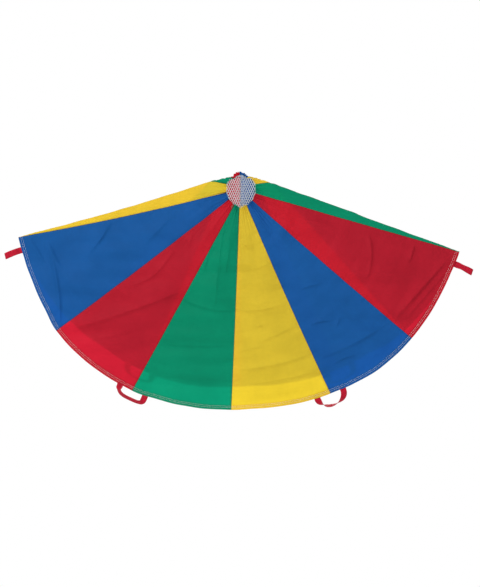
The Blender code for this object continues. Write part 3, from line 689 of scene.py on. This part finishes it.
def stitchRow(inset, depth, shift):
    fine = np.linspace(0.0, 12.0, 12 * thread["samples"] + 1)
    t = 1.0 - inset / goreLength
    line, _ = clothPoints(fine, np.full_like(fine, t))
    run = runAlong(line)
    count = int(run[-1] / (thread["stitch"] + thread["gap"]))
    pitch = run[-1] / count
    starts = np.arange(count) * pitch + shift * pitch
    shares, lifts, sizes = np.array(thread["profile"]).T
    at = (starts[:, None] + shares[None, :] * thread["stitch"]) % run[-1]
    u = np.interp(at, run, fine)
    points, normals = clothPoints(u, np.full_like(u, t))
    sides = np.cross(unit(points[:, -1] - points[:, 0])[:, None, :], normals)
    face = 1.0 if depth == 0.0 else -1.0
    centres = points - normals * depth + normals * face * (lifts * thread["rise"])[None, :, None]
    angles = 2 * math.pi * np.arange(thread["sides"]) / thread["sides"]
    wide = sides[:, :, None, :] * (np.cos(angles) * thread["width"] / 2)[None, None, :, None]
    high = normals[:, :, None, :] * (np.sin(angles) * thread["rise"] / 2)[None, None, :, None]
    return centres[:, :, None, :] + (wide + high) * sizes[None, :, None, None]


def tubeObject(name, ringSets, material):
    points, faces, start = [], [], 0
    for rings in ringSets:
        tubes, stations, sides = rings.shape[:3]
        index = start + np.arange(tubes * stations * sides).reshape(tubes, stations, sides)
        near, far = index[:, :-1], index[:, 1:]
        walls = np.stack([near, np.roll(near, -1, 2), np.roll(far, -1, 2), far], -1)
        faces += walls.reshape(-1, 4).tolist()
        faces += index[:, 0, ::-1].tolist() + index[:, -1].tolist()
        points.append(rings.reshape(-1, 3))
        start += tubes * stations * sides
    mesh = bpy.data.meshes.new(name)
    mesh.from_pydata(np.concatenate(points).tolist(), [], faces)
    bm = bmesh.new()
    bm.from_mesh(mesh)
    bmesh.ops.recalc_face_normals(bm, faces=bm.faces)
    bm.to_mesh(mesh)
    bm.free()
    mesh.shade_smooth()
    return addObject(name, mesh, material)


for node, inset in thread["insets"].items():
    shift = 0.5 if node.endswith("upper") else 0.0
    rows = [stitchRow(inset, 0.0, shift), stitchRow(inset, 2 * gore["turn"], shift + 0.5)]
    item = tubeObject("hemStitches" + node.split("_")[-1].capitalize(), rows, threadMaterial)
    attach(item, "canopy")
    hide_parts(node)
print("hem stitched")


# Knitted polyester net in the vent: two families of fine cords that cross as diamonds.
net = {
    "pitch": 0.0078,        # metres between cords of a family; the real 2 mm mesh is drawn coarser to show
    "cord": 0.0027,         # a drawn cord stands for a bundle of threads
    "clear": 0.32,          # with this share of gaps between them
    "thickness": 0.0006,
    "lean": 66.0,           # degrees from level
    "border": 0.0022,       # the net is sewn this far over the turned tops of the gores
    "bandEnd": 0.0150,      # and ends this far from the edge at the hanging point
    "ahead": 0.0012,        # it lies this far in front of the folded cloth
    "crossing": 0.0003,     # cords pass over and under each other by this much
    "sway": 0.10,           # of the pitch
    "topBack": (0.007, -0.050, 0.035),  # its top lies back by this much, from this height, over this height
    "edge": (0.0012, 0.0008),   # width and thickness of the cord round it
    "step": 0.0046,         # between the stations of a cord
    "colours": ("#e0e9eb", "#c8d0d4"),
    "knots": 420.0,         # to a metre: knots every 2.4 mm
    "patches": 60.0,        # to a metre, 17 mm wide
    "spreads": 0.25,        # share of the light that goes through a cord
}


def makeNetMaterial(values):
    material, tree = newMaterial("knittedPolyesterNet")
    spots = addNode(tree, "ShaderNodeTexCoord")
    knots = addNode(tree, "ShaderNodeTexVoronoi", inputs={"Scale": values["knots"]},
                    links={"Vector": (spots, "Object")})
    soft = addNode(tree, "ShaderNodeTexNoise", inputs={"Scale": values["patches"], "Detail": 2.0},
                   links={"Vector": (spots, "Object")})
    pale, dull = (linear(colour) for colour in values["colours"])
    tint = addNode(tree, "ShaderNodeMixRGB", {"blend_type": "MIX"}, {"Color1": pale, "Color2": dull},
                   {"Fac": (soft, "Fac")})
    bump = addNode(tree, "ShaderNodeBump", inputs={"Strength": 0.4, "Distance": 0.0003},
                   links={"Height": (knots, "Distance")})
    surface = addNode(tree, "ShaderNodeBsdfPrincipled", inputs={"Roughness": 0.6, "Specular IOR Level": 0.25},
                      links={"Base Color": (tint, "Color"), "Normal": (bump, "Normal")})
    through = addNode(tree, "ShaderNodeBsdfTranslucent", inputs={"Color": pale})
    both = addNode(tree, "ShaderNodeMixShader", inputs={"Fac": values["spreads"]},
                   links={1: (surface, 0), 2: (through, 0)})
    gaps = addNode(tree, "ShaderNodeBsdfTransparent")
    whole = addNode(tree, "ShaderNodeMixShader", inputs={"Fac": values["clear"]},
                    links={1: (both, 0), 2: (gaps, 0)})
    addNode(tree, "ShaderNodeOutputMaterial", links={"Surface": (whole, 0)})
    return material


def ventOutline(grow):
    seams = np.linspace(0.0, 12.0, 12 * 30 + 1)[:-1]
    v = np.where(seams > 9.0, seams - 12.0, seams)
    angle = ventAngle(v)
    reach = ventRadius(angle)
    band = bandShare(v)
    edge = reach - ventPush(v, net["bandEnd"]) + grow * (1.0 - band)
    return ventMiddle + edge * np.exp(1j * angle)


def ventPoints(flat, ahead):
    back, start, over = net["topBack"]
    y = -canopyShape["ridgeRadius"] + flat.imag * ventSlope - ahead + back * ease((flat.imag - start) / over)
    return np.stack([flat.real, y, flat.imag], -1)


def flatCord(centre, side, face):
    return np.stack([centre + side, centre + 0.5 * side + face, centre - 0.5 * side + face, centre - side,
                     centre - 0.5 * side - face, centre + 0.5 * side - face], 1)


def makeNet(values):
    outline = ventOutline(values["border"])
    ends = np.roll(outline, -1)
    pitch = values["pitch"]
    reach = int((canopyShape["ventHalfHeight"] + 0.01) / pitch)
    rings = {}
    for family, lean in enumerate((values["lean"], -values["lean"])):
        along = np.exp(1j * math.radians(lean))
        aside = 1j * along
        for number in range(-reach, reach + 1):
            offset = (number + 0.5) * pitch
            near = dot(outline - ventMiddle, aside) - offset
            far = dot(ends - ventMiddle, aside) - offset
            cut = np.where(near * far < 0.0)[0]
            if len(cut) < 2:
                continue
            share = near[cut] / (near[cut] - far[cut])
            hits = dot(outline[cut] + (ends[cut] - outline[cut]) * share - ventMiddle, along)
            low, high = hits.min(), hits.max()
            count = max(4, int((high - low) / values["step"]))
            run = np.linspace(low, high, count + 1)
            sway = values["sway"] * pitch * np.sin(run / pitch * math.pi + number * math.pi)
            flat = ventMiddle + along * run + aside * (offset + sway)
            over = values["crossing"] * np.sin(run / pitch * math.pi + (number + family) * math.pi)
            side = np.array([aside.real, 0.0, aside.imag]) * values["cord"] / 2
            face = np.array([0.0, -1.0, 0.0]) * values["thickness"] / 2
            ring = flatCord(ventPoints(flat, values["ahead"] + over), side, face)
            rings.setdefault(len(run), []).append(ring)
    loop = np.concatenate([outline, outline[:1]])
    outward = np.gradient(loop) * -1j
    outward /= np.abs(outward)
    wide, thick = values["edge"]
    side = np.stack([outward.real, 0.0 * outward.real, outward.imag], -1) * wide / 2
    face = np.array([0.0, -thick / 2, 0.0])
    edge = flatCord(ventPoints(loop, values["ahead"] + values["crossing"]), side, face)
    groups = [np.array(group) for group in rings.values()] + [edge[None]]
    item = tubeObject("ventNet", groups, makeNetMaterial(values))
    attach(item, "canopy")
    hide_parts("vent_net")
    return item


netItem = makeNet(net)
print("net made:", len(netItem.data.polygons), "faces")


# Woven polypropylene webbing: ribs across a flat strap, slightly fuzzy, with firm rounded edges.
webbing = {
    "width": 0.025,
    "thickness": 0.0016,
    "rib": 0.0017,          # metres between ribs
    "ribRise": 0.00012,
    "yarn": 0.0012,         # metres between yarns across the strap
    "worn": 120.0,          # to a metre, so worn patches of 8 mm
    "span": 0.1108,         # between the sewn ends of a hung handle
    "tab": (0.0200, 0.014, 0.008, 0.0035),  # heights above the rim that a sewn end passes from its tip
    "tabGap": 0.0004,       # between a sewn end and the hem
    "sideTab": (0.023, 0.012, 0.004),       # and those at a corner handle
    "colour": "#c71430",
    "ribShadeAndWornColour": "#9f1028",      # painted shade between the ribs and yarns, also the colour of the worn patches
    "bendStart": -0.0010,   # along the hang, where the strap starts to bend at its hinge
    "bendEnd": 0.0130,
    # hung handles: seam, drop and squareness of the corner at the first and at the last end, turn of the web
    # at the bottom in degrees and how soon it turns from each end
    "hung": {
        "front_left": (2, 0.034, 0.56, 0.031, 0.60, 54.0, 8.0, 2.6),
        "front_right": (4, 0.037, 1.10, 0.051, 0.80, 114.0, 2.6, 1.8),
        "back_right": (8, 0.047, 0.60, 0.047, 0.60, 80.0, 2.8, 2.8),
        "back_left": (10, 0.047, 0.60, 0.047, 0.60, 80.0, 2.8, 2.8),
    },
    "stations": 28,         # along a hung loop
    "leanShare": 0.5,       # how far a loop hangs plumb, and not square to its hinge
    # corner handles: length, slant of the web in degrees at its start and at its tip, twist in degrees
    "side": {
        "left_side": (0.067, 2.0, 13.0, 8.0),
        "right_side": (0.074, -2.0, -12.0, 34.0),
    },
    "sideRise": 0.0040,     # the corner handles are sewn this far above the hinge's middle
    "sideHalfGap": 0.0090,  # half the distance between the legs of a corner loop
    "legGap": 0.0006,       # between the two legs in the seam
}


def makeWebbingMaterial(values):
    material, tree = newMaterial("wovenPolypropyleneWebbing")
    place = addNode(tree, "ShaderNodeAttribute", {"attribute_name": "clothPlace"})
    ribs, yarns = (addNode(tree, "ShaderNodeTexWave", {"bands_direction": axis},
                           {"Scale": 2 * math.pi / (20 * apart), "Distortion": uneven, "Detail": 1.0},
                           {"Vector": (place, "Vector")})
                   for axis, apart, uneven in (("Y", values["rib"], 0.6), ("X", values["yarn"], 0.8)))
    weave = addNode(tree, "ShaderNodeMath", {"operation": "MULTIPLY"}, {},
                    {0: (ribs, "Fac"), 1: (yarns, "Fac")})
    spots = addNode(tree, "ShaderNodeTexCoord")
    worn = addNode(tree, "ShaderNodeTexNoise", inputs={"Scale": values["worn"], "Detail": 3.0},
                   links={"Vector": (spots, "Object")})
    # painted shade: the darker colour falls between the ribs and yarns, and it also marks the worn patches
    ribShadeAndWorn = addNode(tree, "ShaderNodeMath", {"operation": "MULTIPLY_ADD"}, {1: 0.55},
                   {0: (weave, 0), 2: (worn, "Fac")})
    ramp = addNode(tree, "ShaderNodeMapRange", inputs={"From Min": 0.35, "From Max": 0.95},
                   links={"Value": (ribShadeAndWorn, 0)})
    tint = addNode(tree, "ShaderNodeMixRGB", {"blend_type": "MIX"},
                   {"Color1": linear(values["ribShadeAndWornColour"]), "Color2": linear(values["colour"])},
                   {"Fac": (ramp, "Result")})
    bump = addNode(tree, "ShaderNodeBump", inputs={"Strength": 0.6, "Distance": 0.0004},
                   links={"Height": (weave, 0)})
    surface = addNode(tree, "ShaderNodeBsdfPrincipled",
                      inputs={"Roughness": 0.66, "Specular IOR Level": 0.12, "Sheen Weight": 0.03},
                      links={"Base Color": (tint, "Color"), "Normal": (bump, "Normal")})
    addNode(tree, "ShaderNodeOutputMaterial", links={"Surface": (surface, 0)})
    return material


webbingMaterial = makeWebbingMaterial(webbing)
# half the outline of the strap's section, in widths and thicknesses; the other half is its mirror image
upperProfile = ((-0.5, 0.0), (-0.485, 0.36), (-0.44, 0.5), (-0.22, 0.5), (0.0, 0.5), (0.22, 0.5), (0.44, 0.5),
                (0.485, 0.36), (0.5, 0.0))
strapProfile = upperProfile + tuple((across, -high) for across, high in upperProfile[-2::-1])


def strapObject(name, points, wides):
    run = runAlong(points)
    count = int(run[-1] / webbing["rib"]) * 4
    at = np.linspace(0.0, run[-1], count + 1)
    smoothPoints = splineThrough(run, points, at)
    smoothWides = unit(splineThrough(run, wides, at))
    tangents = unit(np.gradient(smoothPoints, axis=0))
    smoothWides = unit(smoothWides - tangents * (smoothWides * tangents).sum(1, keepdims=True))
    faces = np.cross(tangents, smoothWides)
    rib = webbing["ribRise"] * np.cos(2 * math.pi * at / webbing["rib"])
    grid = np.zeros((len(at), len(strapProfile), 3))
    marks = np.zeros_like(grid)
    for k, (across, high) in enumerate(strapProfile):
        grid[:, k] = (smoothPoints + smoothWides * across * webbing["width"]
                      + faces * (high * webbing["thickness"] + np.sign(high) * rib)[:, None])
        marks[:, k, 0] = across * webbing["width"]
        marks[:, k, 1] = at
    item = gridObject(name, [(grid, marks)], webbingMaterial, weld=1e-7)
    bm = bmesh.new()
    bm.from_mesh(item.data)
    bmesh.ops.holes_fill(bm, edges=[edge for edge in bm.edges if edge.is_boundary], sides=0)
    bmesh.ops.recalc_face_normals(bm, faces=bm.faces)
    bm.to_mesh(item.data)
    bm.free()
    return item


def splineThrough(run, values, at):
    slopes = np.gradient(values, run, axis=0)
    k = np.clip(np.searchsorted(run, at, side="right") - 1, 0, len(run) - 2)
    size = (run[k + 1] - run[k])[:, None]
    s = (at[:, None] - run[k][:, None]) / size
    return ((2 * s**3 - 3 * s**2 + 1) * values[k] + (s**3 - 2 * s**2 + s) * size * slopes[k]
            + (3 * s**2 - 2 * s**3) * values[k + 1] + (s**3 - s**2) * size * slopes[k + 1])


joints = {joint["child"]: joint for joint in frame["joints"]}
plumb = np.array([0.0, 0.0, -1.0])


def hingeOf(body):
    joint = joints[body]
    middle, axis = np.array(joint["pos_m"]), unit(np.array(joint["axis"]))
    return middle, axis, unit(plumb - axis * axis.dot(plumb))


def finishHandle(item, name, ends):
    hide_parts(name + "_handle", *(f"{name}_handle_sewn_end_{end}" for end in ends))
    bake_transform(item)


def tabPoints(u):
    sunk = 2 * gore["turn"] + webbing["thickness"] / 2 + webbing["tabGap"]
    points = []
    for height in webbing["tab"]:
        place, normal = clothPoints(np.array(u), np.array(1.0 - height / goreLength))
        points.append(place - normal * sunk)
    wide, _ = clothPoints(np.array([u - 0.01, u + 0.01]), np.array([0.99, 0.99]))
    return points, wide[1] - wide[0]


def makeHungHandle(name, seam, firstDrop, firstSquare, lastDrop, lastSquare, turnDegrees, firstHaste,
                   lastHaste):
    hinge = hingeOf(name + "_loop")
    middle, axis, hang = hinge
    facing = np.cross(axis, hang)
    lean = webbing["leanShare"] * plumb.dot(axis) / plumb.dot(hang)
    half = webbing["span"] / 2
    points, wides = [], []
    steps = webbing["stations"]
    for step in range(1, steps):
        angle = math.pi * step / steps
        squareness = firstSquare + (lastSquare - firstSquare) * step / steps
        deep = math.sin(angle) ** squareness
        sideways = -math.copysign(abs(math.cos(angle)) ** squareness, math.cos(angle))
        drop = firstDrop + (lastDrop - firstDrop) * (1.0 + sideways) / 2
        sideways = half * sideways + lean * drop * deep**2
        points.append(middle + axis * sideways + hang * drop * deep)
    inner = [middle - axis * half + hang * 0.001] + points + [middle + axis * half + hang * 0.001]
    for step in range(len(inner)):
        tangent = unit(inner[min(step + 1, steps)] - inner[max(step - 1, 0)])
        if step in (0, steps):
            tangent = hang if step == 0 else -hang
        turned = ease(firstHaste * step / steps) * ease(lastHaste * (1.0 - step / steps))
        turn = math.radians(turnDegrees) * float(turned)
        sideways = unit(np.cross(facing, tangent))
        wides.append(sideways * math.cos(turn) + facing * math.sin(turn))
    offset = half / canopyShape["goreWidth"]
    first, wideFirst = tabPoints((seam - offset) % 12)
    last, wideLast = tabPoints((seam + offset) % 12)
    wideFirst *= math.copysign(1.0, wideFirst.dot(wides[0]))
    wideLast *= math.copysign(1.0, wideLast.dot(wides[-1]))
    path = np.array(first + inner + last[::-1])
    turns = np.array([unit(wideFirst)] * len(first) + wides + [unit(wideLast)] * len(last))
    item = strapObject(name + "Handle", path, turns)
    finishHandle(item, name, "ab")
    return item


def makeSideHandle(name, length, startSlant, tipSlant, twistDegrees):
    hinge = hingeOf(name + "_loop")
    middle, axis, hang = hinge
    facing = np.array([0.0, -1.0, 0.0])
    halfLeg = webbing["legGap"] / 2 + webbing["thickness"] / 2
    gap = webbing["sideHalfGap"]
    centre = length - gap
    slants = [math.tan(math.radians(slant)) for slant in (startSlant, tipSlant)]
    middle = middle - axis * webbing["sideRise"] * math.copysign(1.0, -axis[2])
    route = [(-inside, halfLeg) for inside in webbing["sideTab"]]
    route += [(centre / 2 * share, halfLeg + (gap - halfLeg) * float(ease(share)))
              for share in (0.0, 0.25, 0.5, 0.75, 1.0)]
    bends = [math.pi * k / 10 for k in range(11)]
    route += [(centre + gap * math.sin(bend), gap * math.cos(bend)) for bend in bends]
    route += [(out, -across) for out, across in route[7::-1]]
    points, wides = [], []
    for out, across in route:
        share = max(out, 0.0) / length
        drift = length * (slants[0] * share + (slants[1] - slants[0]) * share**2 / 2)
        twist = math.radians(twistDegrees) * math.sin(math.pi * min(share * 1.25, 1.0)) ** 2
        points.append(middle + hang * out + facing * across * math.cos(twist) + axis * drift)
        wides.append(axis * math.cos(twist) + facing * math.sin(twist))
    item = strapObject(name + "Handle", np.array(points), np.array(wides))
    finishHandle(item, name, ("front", "back"))
    return item


for name, values in webbing["hung"].items():
    makeHungHandle(name, *values)
for name, values in webbing["side"].items():
    makeSideHandle(name, *values)
print("handles made:", len(webbing["hung"]) + len(webbing["side"]))


# Plain pale studio: a floor well below the hung canopy, soft even light, white behind.
studio = {
    "floorHeight": -1.95,
    "floorSize": 60.0,
    "floorColour": "#f4f4f3",
    "fade": (1.5, 2.3),         # metres from the middle over which the floor turns plain white
    "around": 0.38,             # light from all sides
    "lamps": (      # name, place, width, watts
        ("keyLight", (-3.2, -5.0, 3.8), 2.0, 340.0),
        ("fillLight", (4.5, -5.5, 0.6), 3.0, 60.0),
        ("backLight", (0.8, 5.5, 2.6), 3.4, 380.0),
    ),
    "lampAim": (0.0, 0.0, -0.5),
}


def shownPlain(tree):       # 1 where the backdrop itself is seen, also mirrored or through something clear
    seen = addNode(tree, "ShaderNodeLightPath")
    direct = addNode(tree, "ShaderNodeMath", {"operation": "MAXIMUM"}, {},
                     {0: (seen, "Is Camera Ray"), 1: (seen, "Is Transmission Ray")})
    return addNode(tree, "ShaderNodeMath", {"operation": "MAXIMUM"}, {},
                   {0: (direct, 0), 1: (seen, "Is Glossy Ray")})


def makeStudio(values):
    world = bpy.data.worlds.new("studioAir")
    world.use_nodes = True
    tree = world.node_tree
    tree.nodes.clear()
    shown = shownPlain(tree)
    white = (1.0, 1.0, 1.0, 1.0)
    air, white = (addNode(tree, "ShaderNodeBackground", inputs={"Color": white, "Strength": strength})
                  for strength in (values["around"], 1.0))
    mixed = addNode(tree, "ShaderNodeMixShader", links={"Fac": (shown, 0), 1: (air, 0), 2: (white, 0)})
    addNode(tree, "ShaderNodeOutputWorld", links={"Surface": (mixed, 0)})
    scene.world = world

    floorMaterial, tree = newMaterial("matteStudioFloor")
    shown = shownPlain(tree)
    matte = addNode(tree, "ShaderNodeBsdfDiffuse", inputs={"Color": linear(values["floorColour"])})
    glow = addNode(tree, "ShaderNodeEmission", inputs={"Strength": 1.0})
    spots = addNode(tree, "ShaderNodeTexCoord")
    away = addNode(tree, "ShaderNodeVectorMath", {"operation": "LENGTH"}, {}, {0: (spots, "Object")})
    fade = addNode(tree, "ShaderNodeMapRange", {"interpolation_type": "SMOOTHSTEP"},
                   {"From Min": values["fade"][0], "From Max": values["fade"][1], "To Min": 0.1,
                    "To Max": 1.0},
                   {"Value": (away, "Value")})
    plain = addNode(tree, "ShaderNodeMath", {"operation": "MULTIPLY"}, {},
                    {0: (fade, "Result"), 1: (shown, 0)})
    mixed = addNode(tree, "ShaderNodeMixShader", links={"Fac": (plain, 0), 1: (matte, 0), 2: (glow, 0)})
    addNode(tree, "ShaderNodeOutputMaterial", links={"Surface": (mixed, 0)})
    bm = bmesh.new()
    bmesh.ops.create_grid(bm, x_segments=8, y_segments=8, size=values["floorSize"] / 2)
    mesh = bpy.data.meshes.new("studioFloor")
    bm.to_mesh(mesh)
    bm.free()
    floor = addObject("studioFloor", mesh, floorMaterial)
    floor.location = (0.0, 0.0, values["floorHeight"])

    for name, place, width, watts in values["lamps"]:
        data = bpy.data.lights.new(name, "AREA")
        data.shape = "DISK"
        data.size = width
        data.energy = watts
        lamp = bpy.data.objects.new(name, data)
        lamp.location = place
        aim = Vector(values["lampAim"]) - Vector(place)
        lamp.rotation_euler = aim.to_track_quat("-Z", "Y").to_euler()
        scene.collection.objects.link(lamp)


makeStudio(studio)
print("studio lit")
